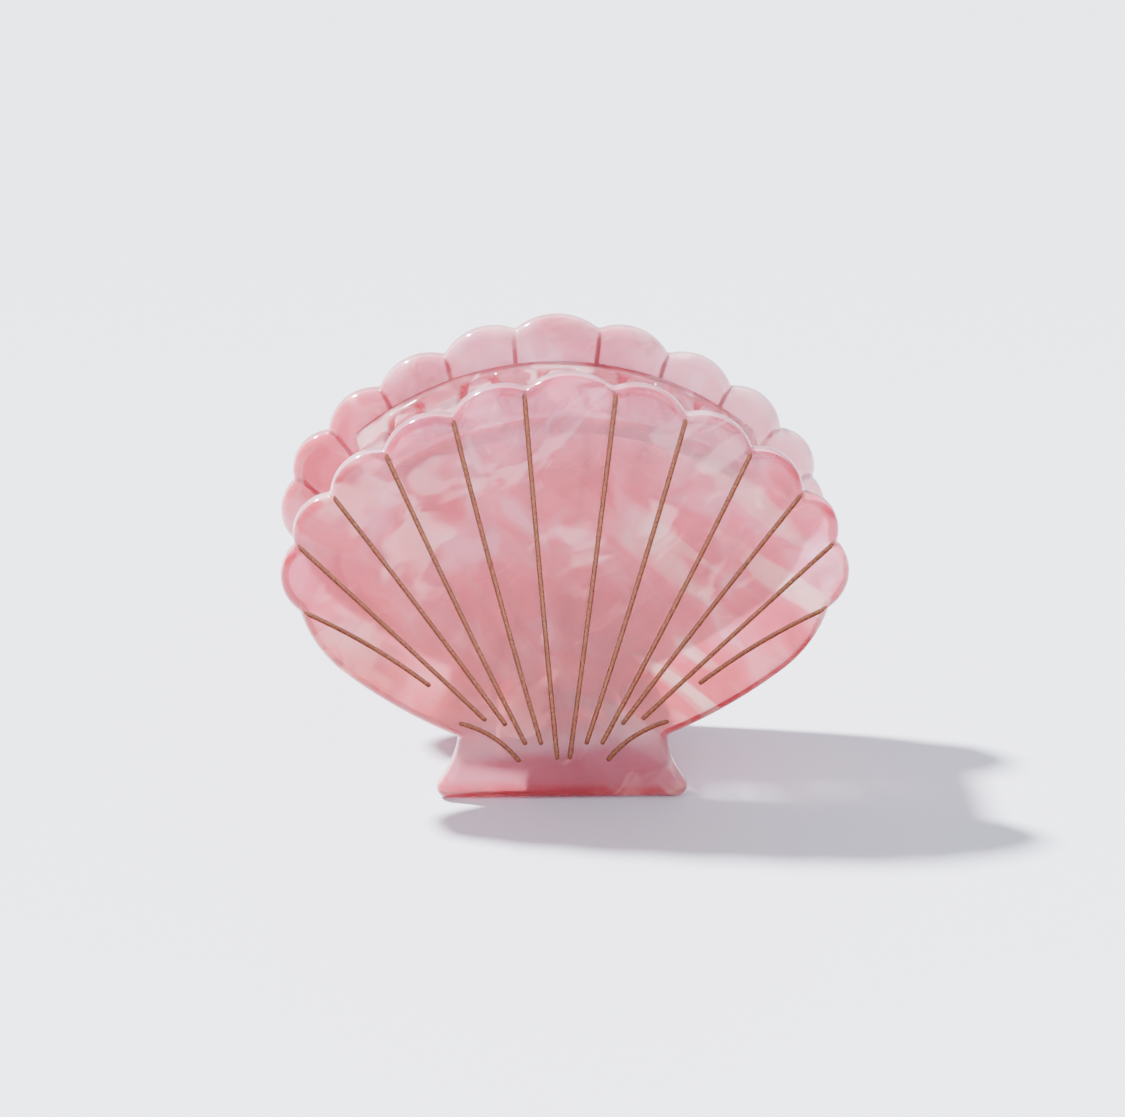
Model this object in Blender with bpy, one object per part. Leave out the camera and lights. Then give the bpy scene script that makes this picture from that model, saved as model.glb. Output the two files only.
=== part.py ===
"""A shell-shaped hair claw clip, closed and standing on the two feet of its shell plates.

Metres, +Z up. X runs across the shells, Y from the front shell (-Y) to the rear one (+Y).
The origin lies on the surface that the clip stands on, midway between the two feet.
"""

import math

import bmesh
import bpy
from mathutils import Matrix

# Shell plates
PLATE_THICKNESS = 0.0038
PLATE_PITCH = 0.0300
RIM_RADIUS = 0.0015
RIM_STEPS = 3

# Half outline of a shell, from the top centre down the +X side: points between two lobes
CUSPS = (
    (0.0067, 0.0677),
    (0.0179, 0.0635),
    (0.0282, 0.0580),
    (0.0364, 0.0509),
    (0.0419, 0.0427),
    (0.0411, 0.0318),
)
TOP_LOBE_RISE = 0.0025
LOBE_RISES = (0.0023, 0.0023, 0.0023, 0.0023, 0.0026)
LOBE_STEPS = 7
CUSP_SOFTENING = 0.0004
SHOULDER = (0.0344, 0.0215)
SHOULDER_RISE = 0.00095
NECK = (0.0165, 0.0105)
NECK_RISE = 0.00072
FOOT_SIDE = (0.0195, 0.0029)
FOOT_SIDE_RISE = -0.0006
FOOT_CORNER_RADIUS = 0.0018
FOOT_CORNER_START = math.radians(37)
SIDE_STEPS = 4

# Engraved lines on the +X half of a shell's outer face: outer end, inner end, bow, steps
LINES = (
    ((0.0070, 0.0674), (0.0010, 0.0073), 0.0001, 1),
    ((0.0178, 0.0633), (0.0036, 0.0098), 0.0003, 2),
    ((0.0280, 0.0578), (0.0061, 0.0098), 0.0003, 2),
    ((0.0360, 0.0510), (0.0093, 0.0131), -0.0002, 2),
    ((0.0414, 0.0430), (0.0125, 0.0139), -0.0001, 1),
    ((0.0406, 0.0321), (0.0213, 0.0198), -0.0007, 4),
    ((0.0161, 0.0132), (0.0071, 0.0069), -0.0009, 4),
)
LINE_WIDTH = 0.0008
LINE_DEPTH = 0.0005
LINE_END_STEPS = 4

# Combs: curved strips inside the top of each shell, with teeth that pass between each other
COMB_RADIUS = 0.0490
COMB_CENTRE_Z = 0.0140
COMB_THICKNESS = 0.0028
COMB_WEB = 0.0032
TOOTH_PITCH = math.radians(15)
TOOTH_ROOT = 0.0066
TOOTH_TIP = 0.0040
TOOTH_REACH = 0.0092
ROOT_FILLET = 0.0010
REAR_TEETH = (-2.5, -1.5, -0.5, 0.5, 1.5, 2.5)
FRONT_TEETH = (-2, -1, 0, 1, 2)
COMB_BEND_STEP = math.radians(5)
COMB_BEND_PHASE = 0.37

# Hinge: an arched bracket on each shell, a pin through both and a spring coiled round it
GLUE_GAP = 0.0003
ARCH_RADIUS = 0.0103
ARCH_WALL = 0.0024
ARCH_CENTRE_Z = 0.0093
ARCH_BASE_Z = 0.0070
ARCH_STEPS = 20
HINGE_Z = 0.0115
STOP_GAP = 0.0003
LUG_RADIUS = 0.0026
LUG_CLEARANCE = 0.0005
LUG_START = math.radians(-70)
RELIEF_START = math.radians(-35)
CHEEK_INNER = 0.0039
CHEEK_OUTER = 0.0060
CHEEK_TOP = 0.0166
CHEEK_LUG_END = math.radians(80)
PIN_RADIUS = 0.0009
PIN_BORE_RADIUS = 0.00115
PIN_HEAD_RADIUS = 0.0017
PIN_HEAD_THICKNESS = 0.0008
PIN_HEAD_GAP = 0.00024
PIN_HEAD_DOME = ((0.45, 1.0), (0.85, 0.75), (1.0, 0.35))
PIN_SIDES = 24
COIL_RADIUS = 0.0023
COIL_TURNS = 7
COIL_HALF_LENGTH = 0.0032
COIL_STEPS = 12
WIRE_RADIUS = 0.0004
LEG_REACH = 0.0110
LEG_END_Z = 0.0156

PLATE_Y = PLATE_PITCH / 2
INNER_FACE_Y = PLATE_Y - PLATE_THICKNESS / 2

PINK_ACETATE = (0.86, 0.52, 0.57, 1)
PALE_ACETATE = (0.90, 0.66, 0.69, 1)
SPRING_STEEL = (0.72, 0.72, 0.73, 1)


def clear_scene():
    for obj in list(bpy.data.objects):
        bpy.data.objects.remove(obj, do_unlink=True)


def material(name, color, roughness, metallic=0.0, transmission=0.0):
    made = bpy.data.materials.new(name)
    made.use_nodes = True
    shader = made.node_tree.nodes["Principled BSDF"]
    shader.inputs["Base Color"].default_value = color
    shader.inputs["Roughness"].default_value = roughness
    shader.inputs["Metallic"].default_value = metallic
    shader.inputs["Transmission Weight"].default_value = transmission
    made.diffuse_color = color
    return made


def add_object(name, mesh, surface=None):
    obj = bpy.data.objects.new(name, mesh)
    bpy.context.scene.collection.objects.link(obj)
    if surface:
        obj.data.materials.append(surface)
    return obj


def add_helper(name, mesh):
    """A cutter or a shape that another object takes in: never part of the model itself."""
    helper = add_object(name, mesh)
    helper.hide_render = True
    helper.display_type = "WIRE"
    return helper


def add_boolean(obj, helper, operation):
    modifier = obj.modifiers.new(helper.name, "BOOLEAN")
    modifier.operation = operation
    modifier.solver = "EXACT"
    modifier.object = helper


def smooth(mesh, angle=math.radians(35)):
    mesh.shade_smooth()
    mesh.set_sharp_from_angle(angle=angle)


def finish_mesh(shape, name):
    bmesh.ops.recalc_face_normals(shape, faces=shape.faces[:])
    mesh = bpy.data.meshes.new(name)
    shape.to_mesh(mesh)
    shape.free()
    return mesh


def arc(start, end, rise, steps):
    """Points from start up to, not including, end. A positive rise bulges to the left of the way."""
    chord = math.dist(start, end)
    along = ((end[0] - start[0]) / chord, (end[1] - start[1]) / chord)
    left = (-along[1], along[0])
    radius = (chord * chord / 4 + rise * rise) / (2 * abs(rise))
    half_angle = 2 * math.atan(2 * abs(rise) / chord)
    points = []
    for step in range(steps):
        angle = half_angle * (2 * step / steps - 1)
        forward = chord / 2 + radius * math.sin(angle)
        aside = math.copysign(radius * (math.cos(angle) - math.cos(half_angle)), rise)
        points.append(
            (
                start[0] + along[0] * forward + left[0] * aside,
                start[1] + along[1] * forward + left[1] * aside,
            )
        )
    return points


def circle_points(centre, radius, start, end, steps):
    """Points on a circle from angle start to angle end, both included."""
    angles = (start + (end - start) * step / steps for step in range(steps + 1))
    return [
        (centre[0] + radius * math.cos(angle), centre[1] + radius * math.sin(angle))
        for angle in angles
    ]


def softened(before, corner, after):
    """Three points that round off a corner between the points before and after it."""

    def towards(point):
        share = CUSP_SOFTENING / math.dist(corner, point)
        return tuple(c + (p - c) * share for c, p in zip(corner, point))

    first, last = towards(before), towards(after)
    middle = tuple((a + b + 2 * c) / 4 for a, b, c in zip(first, last, corner))
    return [first, middle, last]


def shell_outline():
    """The shell's closed outline in X and Z, clockwise from its top centre."""
    top = CUSPS[0]
    right = arc((-top[0], top[1]), top, TOP_LOBE_RISE, 2 * LOBE_STEPS)[LOBE_STEPS:]
    corners = []
    for start, end, rise in zip(CUSPS, CUSPS[1:], LOBE_RISES):
        corners.append(len(right))
        right += arc(start, end, rise, LOBE_STEPS)
    corners.append(len(right))
    right += arc(CUSPS[-1], SHOULDER, SHOULDER_RISE, SIDE_STEPS)
    right += arc(SHOULDER, NECK, NECK_RISE, SIDE_STEPS)
    corners.append(len(right))
    right += arc(NECK, FOOT_SIDE, FOOT_SIDE_RISE, SIDE_STEPS)
    corner_centre = (
        FOOT_SIDE[0] - FOOT_CORNER_RADIUS * math.cos(FOOT_CORNER_START),
        FOOT_CORNER_RADIUS,
    )
    right += circle_points(
        corner_centre, FOOT_CORNER_RADIUS, FOOT_CORNER_START, -math.pi / 2, SIDE_STEPS
    )
    rounded = []
    for index, point in enumerate(right):
        if index in corners:
            rounded += softened(right[index - 1], point, right[index + 1])
        else:
            rounded.append(point)
    return rounded + [(-x, z) for x, z in reversed(rounded[1:])]


def extruded(outline, place, length_start, length_end, name):
    """A closed prism. place(u, v, w) turns an outline point (u, v) at length w into X, Y, Z."""
    shape = bmesh.new()
    near = [shape.verts.new(place(u, v, length_start)) for u, v in outline]
    far = [shape.verts.new(place(u, v, length_end)) for u, v in outline]
    shape.faces.new(near)
    shape.faces.new(reversed(far))
    for index in range(len(outline)):
        following = (index + 1) % len(outline)
        shape.faces.new((near[index], far[index], far[following], near[following]))
    return finish_mesh(shape, name)


def along_y(x, z, y):
    return (x, y, z)


def along_x(y, z, x):
    return (x, y, z)


def slot_outline(start, end, bow, steps):
    """A line of LINE_WIDTH with round ends, as a closed outline."""
    centre = arc(start, end, bow, steps) + [end]
    reach = LINE_WIDTH / 2
    headings = [
        math.atan2(b[1] - a[1], b[0] - a[0])
        for a, b in zip(centre[:1] + centre, centre[1:] + centre[-1:])
        if a != b
    ]
    headings = [headings[0]] + [
        (a + b) / 2 for a, b in zip(headings[1:], headings[2:] + headings[-1:])
    ]

    def beside(side):
        return [
            (
                x + side * reach * math.cos(heading + math.pi / 2),
                z + side * reach * math.sin(heading + math.pi / 2),
            )
            for (x, z), heading in zip(centre, headings)
        ]

    def cap(point, heading):
        return circle_points(
            point, reach, heading + math.pi / 2, heading - math.pi / 2, LINE_END_STEPS
        )[1:-1]

    far_end = cap(centre[-1], headings[-1])
    near_end = cap(centre[0], headings[0] + math.pi)
    return beside(1) + far_end + list(reversed(beside(-1))) + near_end


def line_cutter():
    """The engraved lines of one outer face, as one mesh of separate bars."""
    shape = bmesh.new()
    face = -PLATE_THICKNESS / 2
    for start, end, bow, steps in LINES:
        for side in (1, -1):
            outline = slot_outline(
                (side * start[0], start[1]), (side * end[0], end[1]), side * bow, steps
            )
            bar = extruded(
                outline, along_y, face - LINE_DEPTH, face + LINE_DEPTH, "engraved_bar"
            )
            shape.from_mesh(bar)
            bpy.data.meshes.remove(bar)
    return finish_mesh(shape, "engraved_lines")


def shell_mesh():
    """One shell plate with its rims marked for rounding. Its outer face looks towards -Y."""
    half = PLATE_THICKNESS / 2
    mesh = extruded(shell_outline(), along_y, -half, half, "shell_plate")
    shape = bmesh.new()
    shape.from_mesh(mesh)
    weight = shape.edges.layers.float.new("bevel_weight_edge")
    for edge in shape.edges:
        if abs(edge.verts[0].co.y - edge.verts[1].co.y) < half:
            edge[weight] = 1
    shape.to_mesh(mesh)
    shape.free()
    return mesh


def add_shell(name, mesh, surface, lines):
    shell = add_object(name, mesh, surface)
    rim = shell.modifiers.new("rounded_rim", "BEVEL")
    rim.limit_method = "WEIGHT"
    rim.width = RIM_RADIUS
    rim.segments = RIM_STEPS
    rim.use_clamp_overlap = False
    add_boolean(shell, lines, "DIFFERENCE")
    smooth(shell.data)
    return shell


def comb_outline(teeth):
    """A comb laid flat: distance along its arc, and height above the shell's inner face."""
    pitch = COMB_RADIUS * TOOTH_PITCH
    tip_height = INNER_FACE_Y + TOOTH_REACH
    tip_radius = TOOTH_TIP / 2
    half_root = TOOTH_ROOT / 2
    left_end = teeth[0] * pitch - half_root
    right_end = teeth[-1] * pitch + half_root
    outline = [(left_end, GLUE_GAP)]
    for tooth in teeth:
        middle = tooth * pitch
        if tooth != teeth[0]:
            corner = (middle - half_root - ROOT_FILLET, COMB_WEB + ROOT_FILLET)
            outline += circle_points(corner, ROOT_FILLET, -math.pi / 2, 0, 3)
        outline += circle_points(
            (middle, tip_height - tip_radius), tip_radius, math.pi, 0, 8
        )
        if tooth != teeth[-1]:
            corner = (middle + half_root + ROOT_FILLET, COMB_WEB + ROOT_FILLET)
            outline += circle_points(corner, ROOT_FILLET, math.pi, 1.5 * math.pi, 3)
    outline.append((right_end, GLUE_GAP))
    return outline


def comb_mesh(name, teeth):
    """The flat comb cut across every few degrees, then bent to its arc."""
    flat = extruded(comb_outline(teeth), lambda u, v, w: (u, v, w), 0, COMB_THICKNESS, name)
    shape = bmesh.new()
    shape.from_mesh(flat)
    bpy.data.meshes.remove(flat)
    step = COMB_RADIUS * COMB_BEND_STEP
    reach = max(vert.co.x for vert in shape.verts)
    cut_count = int(reach / step)
    for cut in range(-cut_count, cut_count + 1):
        bmesh.ops.bisect_plane(
            shape,
            geom=shape.verts[:] + shape.edges[:] + shape.faces[:],
            plane_co=((cut + COMB_BEND_PHASE) * step, 0, 0),
            plane_no=(1, 0, 0),
            dist=1e-6,
        )
    bmesh.ops.triangulate(shape, faces=shape.faces[:])
    for vert in shape.verts:
        angle = vert.co.x / COMB_RADIUS
        radius = COMB_RADIUS - vert.co.z
        height = vert.co.y - INNER_FACE_Y
        vert.co = (
            radius * math.sin(angle),
            height,
            COMB_CENTRE_Z + radius * math.cos(angle),
        )
    return finish_mesh(shape, name)


def arch_outline():
    """The bracket's cross-section in X and Z: half a ring on two short legs."""
    inner = ARCH_RADIUS - ARCH_WALL
    centre = (0, ARCH_CENTRE_Z)
    outside = circle_points(centre, ARCH_RADIUS, 0, math.pi, ARCH_STEPS)
    inside = circle_points(centre, inner, math.pi, 0, ARCH_STEPS)
    base = ARCH_BASE_Z
    return (
        [(ARCH_RADIUS, base)]
        + outside
        + [(-ARCH_RADIUS, base), (-inner, base)]
        + inside
        + [(inner, base)]
    )


def lug_side_outline():
    """The side of the front bracket in Y and Z: it ends in lugs round the pin."""
    top = ARCH_CENTRE_Z + ARCH_RADIUS + STOP_GAP
    back = -INNER_FACE_Y - GLUE_GAP
    low = ARCH_BASE_Z - STOP_GAP
    lug = circle_points((0, HINGE_Z), LUG_RADIUS, LUG_START, math.pi / 2, 10)
    crown = -STOP_GAP / 2
    return (
        [(back, low), (-2 * LUG_RADIUS, low)]
        + lug
        + [(crown, HINGE_Z + LUG_RADIUS), (crown, top), (back, top)]
    )


def relieved_side_outline():
    """The side of the rear bracket's arch in Y and Z: cut back round the front lugs."""
    top = ARCH_CENTRE_Z + ARCH_RADIUS + STOP_GAP
    back = INNER_FACE_Y + GLUE_GAP
    low = ARCH_BASE_Z - STOP_GAP
    crown = STOP_GAP / 2
    relief_radius = LUG_RADIUS + LUG_CLEARANCE
    crown_angle = math.acos(crown / relief_radius)
    relief = circle_points((0, HINGE_Z), relief_radius, RELIEF_START, crown_angle, 10)
    return [(back, low), (relief[0][0] + LUG_RADIUS / 2, low)] + relief + [(crown, top), (back, top)]


def cheek_outline():
    """The side of a rear cheek in Y and Z: a lug round the pin and a web up into the arch."""
    back = INNER_FACE_Y
    lug = circle_points((0, HINGE_Z), LUG_RADIUS, 1.5 * math.pi, CHEEK_LUG_END, 12)
    return [(back, HINGE_Z - LUG_RADIUS)] + lug + [(LUG_RADIUS / 2, CHEEK_TOP), (back, CHEEK_TOP)]


def cheeks_mesh():
    shape = bmesh.new()
    for side in (1, -1):
        cheek = extruded(
            cheek_outline(), along_x, side * CHEEK_INNER, side * CHEEK_OUTER, "cheek"
        )
        shape.from_mesh(cheek)
        bpy.data.meshes.remove(cheek)
    return finish_mesh(shape, "cheeks")


def turned_mesh(profile, sides, name):
    """A solid turned round the X axis through the hinge, from a list of (x, radius)."""
    shape = bmesh.new()
    rings = []
    for x, radius in profile:
        ring = circle_points((0, HINGE_Z), radius, 0, 2 * math.pi, sides)[:-1]
        rings.append([shape.verts.new((x, y, z)) for y, z in ring])
    shape.faces.new(rings[0])
    shape.faces.new(reversed(rings[-1]))
    for first, second in zip(rings, rings[1:]):
        for index in range(sides):
            following = (index + 1) % sides
            shape.faces.new(
                (first[index], second[index], second[following], first[following])
            )
    return finish_mesh(shape, name)


def pin_mesh():
    """The hinge pin with its two domed heads, just outside the front lugs."""
    inside = ARCH_RADIUS + PIN_HEAD_GAP
    half = [(inside, PIN_RADIUS), (inside, PIN_HEAD_RADIUS)]
    for height, width in PIN_HEAD_DOME:
        half.append((inside + height * PIN_HEAD_THICKNESS, width * PIN_HEAD_RADIUS))
    profile = [(-x, radius) for x, radius in reversed(half)] + half
    return turned_mesh(profile, PIN_SIDES, "hinge_pin")


def bore_mesh():
    reach = ARCH_RADIUS + PIN_HEAD_THICKNESS
    return turned_mesh(
        [(-reach, PIN_BORE_RADIUS), (reach, PIN_BORE_RADIUS)], PIN_SIDES, "pin_bore"
    )


def front_arch_mesh():
    return extruded(
        arch_outline(), along_y, -INNER_FACE_Y + GLUE_GAP, 2 * LUG_RADIUS, "front_arch"
    )


def rear_arch_mesh():
    return extruded(
        arch_outline(), along_y, -LUG_RADIUS, INNER_FACE_Y - GLUE_GAP, "rear_arch"
    )


def spring_path():
    """Front leg, coil round the pin, rear leg. Both legs meet the coil at its top."""
    coil_top = HINGE_Z + COIL_RADIUS
    steps = COIL_TURNS * COIL_STEPS
    path = [(-COIL_HALF_LENGTH, -LEG_REACH, LEG_END_Z)]
    path.append((-COIL_HALF_LENGTH, -COIL_RADIUS / 2, coil_top))
    for step in range(steps + 1):
        turn = 2 * math.pi * step / COIL_STEPS
        path.append(
            (
                COIL_HALF_LENGTH * (2 * step / steps - 1),
                COIL_RADIUS * math.sin(turn),
                HINGE_Z + COIL_RADIUS * math.cos(turn),
            )
        )
    path.append((COIL_HALF_LENGTH, COIL_RADIUS / 2, coil_top))
    path.append((COIL_HALF_LENGTH, LEG_REACH, LEG_END_Z))
    return path


def add_spring(surface):
    curve = bpy.data.curves.new("torsion_spring", "CURVE")
    curve.dimensions = "3D"
    curve.bevel_depth = WIRE_RADIUS
    curve.bevel_resolution = 1
    curve.use_fill_caps = True
    spline = curve.splines.new("POLY")
    path = spring_path()
    spline.points.add(len(path) - 1)
    for point, place in zip(spline.points, path):
        point.co = (*place, 1)
    return add_object("torsion_spring", curve, surface)


def add_axis(name):
    """An empty on the hinge's axis, which carries what turns with the rear jaw."""
    axis = bpy.data.objects.new(name, None)
    axis.location = (0, 0, HINGE_Z)
    axis.empty_display_size = ARCH_RADIUS
    bpy.context.scene.collection.objects.link(axis)
    return axis


def carry(axis, obj):
    """Parents obj to the axis and leaves it where it is."""
    obj.parent = axis
    obj.matrix_parent_inverse = Matrix.Translation(axis.location).inverted()


def main():
    clear_scene()
    pink = material("pearl_acetate_pink", PINK_ACETATE, 0.12, transmission=0.3)
    pale = material("pearl_acetate_pale", PALE_ACETATE, 0.12, transmission=0.3)
    steel = material("spring_steel", SPRING_STEEL, 0.25, metallic=1.0)

    plate = shell_mesh()
    lines = add_helper("line_cutter", line_cutter())
    front_shell = add_shell("front_shell", plate, pink, lines)
    front_shell.location.y = -PLATE_Y
    lines.parent = front_shell

    rear_lines = add_helper("rear_line_cutter", lines.data)
    rear_shell = add_shell("rear_shell", plate.copy(), pink, rear_lines)
    rear_lines.parent = rear_shell
    rear_shell.location.y = PLATE_Y
    rear_shell.rotation_euler.z = math.pi

    front_comb = add_object("front_comb", comb_mesh("front_comb", FRONT_TEETH), pale)
    smooth(front_comb.data)
    rear_comb = add_object("rear_comb", comb_mesh("rear_comb", REAR_TEETH), pale)
    smooth(rear_comb.data)
    rear_comb.rotation_euler.z = math.pi

    bore = add_helper("pin_bore", bore_mesh())
    front_arch = add_object("front_hinge_arch", front_arch_mesh(), pale)
    front_side = extruded(
        lug_side_outline(), along_x, -2 * ARCH_RADIUS, 2 * ARCH_RADIUS, "front_side"
    )
    add_boolean(front_arch, add_helper("front_arch_side", front_side), "INTERSECT")
    add_boolean(front_arch, bore, "DIFFERENCE")

    rear_arch = add_object("rear_hinge_arch", rear_arch_mesh(), pale)
    rear_side = extruded(
        relieved_side_outline(), along_x, -2 * ARCH_RADIUS, 2 * ARCH_RADIUS, "rear_side"
    )
    add_boolean(rear_arch, add_helper("rear_arch_side", rear_side), "INTERSECT")
    add_boolean(rear_arch, add_helper("rear_cheeks", cheeks_mesh()), "UNION")
    add_boolean(rear_arch, bore, "DIFFERENCE")
    for arch in (front_arch, rear_arch):
        smooth(arch.data)

    pin = add_object("hinge_pin", pin_mesh(), steel)
    smooth(pin.data)
    add_spring(steel)

    rear_axis = add_axis("rear_jaw_axis")
    for obj in (rear_shell, rear_comb, rear_arch):
        carry(rear_axis, obj)


main()
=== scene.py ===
import math

import bmesh
import bpy
from mathutils import Matrix, Vector


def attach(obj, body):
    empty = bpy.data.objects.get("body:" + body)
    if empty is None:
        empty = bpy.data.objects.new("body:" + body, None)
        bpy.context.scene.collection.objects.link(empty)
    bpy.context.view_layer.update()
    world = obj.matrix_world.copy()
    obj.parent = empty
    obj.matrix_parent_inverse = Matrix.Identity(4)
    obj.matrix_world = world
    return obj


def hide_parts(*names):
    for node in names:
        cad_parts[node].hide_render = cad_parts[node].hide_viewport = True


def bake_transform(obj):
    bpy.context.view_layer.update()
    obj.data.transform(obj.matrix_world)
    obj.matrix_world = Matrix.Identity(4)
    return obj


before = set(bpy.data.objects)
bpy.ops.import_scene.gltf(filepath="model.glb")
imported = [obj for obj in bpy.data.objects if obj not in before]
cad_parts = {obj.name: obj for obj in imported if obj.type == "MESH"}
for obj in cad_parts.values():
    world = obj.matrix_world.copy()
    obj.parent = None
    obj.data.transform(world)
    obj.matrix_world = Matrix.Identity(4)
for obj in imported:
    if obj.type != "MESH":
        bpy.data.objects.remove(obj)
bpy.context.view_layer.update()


# Dimensions, in metres.

PLATE_THICKNESS = 0.0038
PLATE_Y = 0.0150
INNER_FACE_Y = PLATE_Y - PLATE_THICKNESS / 2
RIM_RADIUS = 0.0016
RIM_STEPS = 9
FACE_INSET = 0.00015
RIM_FACE_NORMAL = 0.55

# The right half of the shell's outline in X and Z, from the top down to the foot. Each rise is how
# far the arc to the next point bows out.
CUSPS = (
    (0.0067, 0.0677),
    (0.0179, 0.0635),
    (0.0282, 0.0580),
    (0.0364, 0.0509),
    (0.0419, 0.0427),
    (0.0411, 0.0318),
)
TOP_LOBE_RISE = 0.0025
LOBE_RISES = (0.0023, 0.0023, 0.0023, 0.0023, 0.0026)
LOBE_STEPS = 20
CUSP_SOFTENING = 0.0005
CUSP_STEPS = 5
SHOULDER = (0.0344, 0.0215)
SHOULDER_RISE = 0.00095
NECK = (0.0165, 0.0105)
NECK_RISE = 0.00072
FOOT_SIDE = (0.0195, 0.0029)
FOOT_SIDE_RISE = -0.0006
FOOT_CORNER_RADIUS = 0.0018
FOOT_CORNER_START = math.radians(37)
SIDE_STEPS = 16
NECK_STEPS = 24
FOOT_STEPS = 10

# The engraved lines on the right: outer end, inner end and bow.
LINES = (
    ((0.0070, 0.0674), (0.0010, 0.0073), 0.0001),
    ((0.0178, 0.0633), (0.0036, 0.0098), 0.0003),
    ((0.0280, 0.0578), (0.0061, 0.0098), 0.0003),
    ((0.0360, 0.0510), (0.0093, 0.0131), -0.0002),
    ((0.0414, 0.0430), (0.0125, 0.0139), -0.0001),
    ((0.0406, 0.0321), (0.0213, 0.0198), -0.0007),
    ((0.0161, 0.0132), (0.0071, 0.0069), -0.0009),
)
LINE_RADIUS = 0.00039
LINE_STEPS = 14
LINE_SIDES = 16
LINE_CAP_STEPS = 5
LINE_CAP_POLE = 0.4

COMB_RADIUS = 0.0490
COMB_CENTRE_Z = 0.0140
COMB_THICKNESS = 0.0028
COMB_WEB = 0.0032
COMB_EDGE = 0.0007
COMB_EDGE_STEPS = 4
TOOTH_PITCH = math.radians(15)
TOOTH_ROOT = 0.0066
TOOTH_TIP = 0.0040
TOOTH_REACH = 0.0092
TIP_STEPS = 16
ROOT_FILLET = 0.0010
ROOT_STEPS = 6
REAR_TEETH = (-2.5, -1.5, -0.5, 0.5, 1.5, 2.5)
FRONT_TEETH = (-2, -1, 0, 1, 2)
COMB_BEND_STEP = math.radians(1.25)
COMB_BEND_PHASE = 0.37
SAME_PLACE = 1e-6
OFF_BASE = 1e-5

ARCH_RADIUS = 0.0103
ARCH_WALL = 0.0024
ARCH_CENTRE_Z = 0.0093
ARCH_BASE_Z = 0.0070
ARCH_STEPS = 48
HINGE_Z = 0.0115
STOP_GAP = 0.0003
SIDE_OVERLAP = 0.001
EASED_EDGE = 0.0002
EASED_STEPS = 2
EASED_ANGLE = math.radians(40)
FLAT_ANGLE = math.radians(0.5)
CUT_WELD = 5e-6
EASED_WELD = 2e-6
LUG_RADIUS = 0.0026
LUG_CLEARANCE = 0.0005
LUG_START = math.radians(-70)
RELIEF_START = math.radians(-35)
CHEEK_LUG_END = math.radians(80)
LUG_STEPS = 28
CHEEK_STEPS = 32
CHEEK_INNER = 0.0039
CHEEK_OUTER = 0.0060
CHEEK_TOP = 0.0166
PIN_RADIUS = 0.0009
PIN_BORE_RADIUS = 0.00115
PIN_HEAD_RADIUS = 0.0017
PIN_HEAD_THICKNESS = 0.0008
PIN_HEAD_GAP = 0.00024
PIN_HEAD_SIDE = 0.3
PIN_HEAD_DOME = 0.7
PIN_HEAD_FOOT = 0.96
PIN_HEAD_TIP = 0.02
PIN_HEAD_STEPS = 8
PIN_SIDES = 48
COIL_RADIUS = 0.0023
COIL_TURNS = 7
COIL_HALF_LENGTH = 0.0032
COIL_STEPS = 40
WIRE_RADIUS = 0.0004
LEG_REACH = 0.0110
LEG_END_Z = 0.0156

SMOOTH_ANGLE = 35
ROUND_SMOOTH_ANGLE = 40


# Outlines and solids.


def arc(start, end, rise, steps):
    """Points of an arc that bows to the left by rise, or to the right where it is negative.

    The end point is left out.
    """
    chord = math.dist(start, end)
    along = ((end[0] - start[0]) / chord, (end[1] - start[1]) / chord)
    left = (-along[1], along[0])
    radius = (chord * chord / 4 + rise * rise) / (2 * abs(rise))
    half_angle = 2 * math.atan(2 * abs(rise) / chord)
    points = []
    for step in range(steps):
        angle = half_angle * (2 * step / steps - 1)
        forward = chord / 2 + radius * math.sin(angle)
        aside = math.copysign(radius * (math.cos(angle) - math.cos(half_angle)), rise)
        points.append(
            (
                start[0] + along[0] * forward + left[0] * aside,
                start[1] + along[1] * forward + left[1] * aside,
            )
        )
    return points


def circle_points(centre, radius, start, end, steps):
    """Points of a round arc from one angle to another, both ends included."""
    angles = (start + (end - start) * step / steps for step in range(steps + 1))
    return [
        (centre[0] + radius * math.cos(angle), centre[1] + radius * math.sin(angle))
        for angle in angles
    ]


def softened(before, corner, after):
    """A short curve in the place of a corner."""

    def towards(point):
        share = CUSP_SOFTENING / math.dist(corner, point)
        return tuple(c + (p - c) * share for c, p in zip(corner, point))

    first, last = towards(before), towards(after)
    points = []
    for step in range(CUSP_STEPS):
        t = step / (CUSP_STEPS - 1)
        points.append(
            tuple(
                a * (1 - t) ** 2 + 2 * c * t * (1 - t) + b * t * t
                for a, c, b in zip(first, corner, last)
            )
        )
    return points


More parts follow.
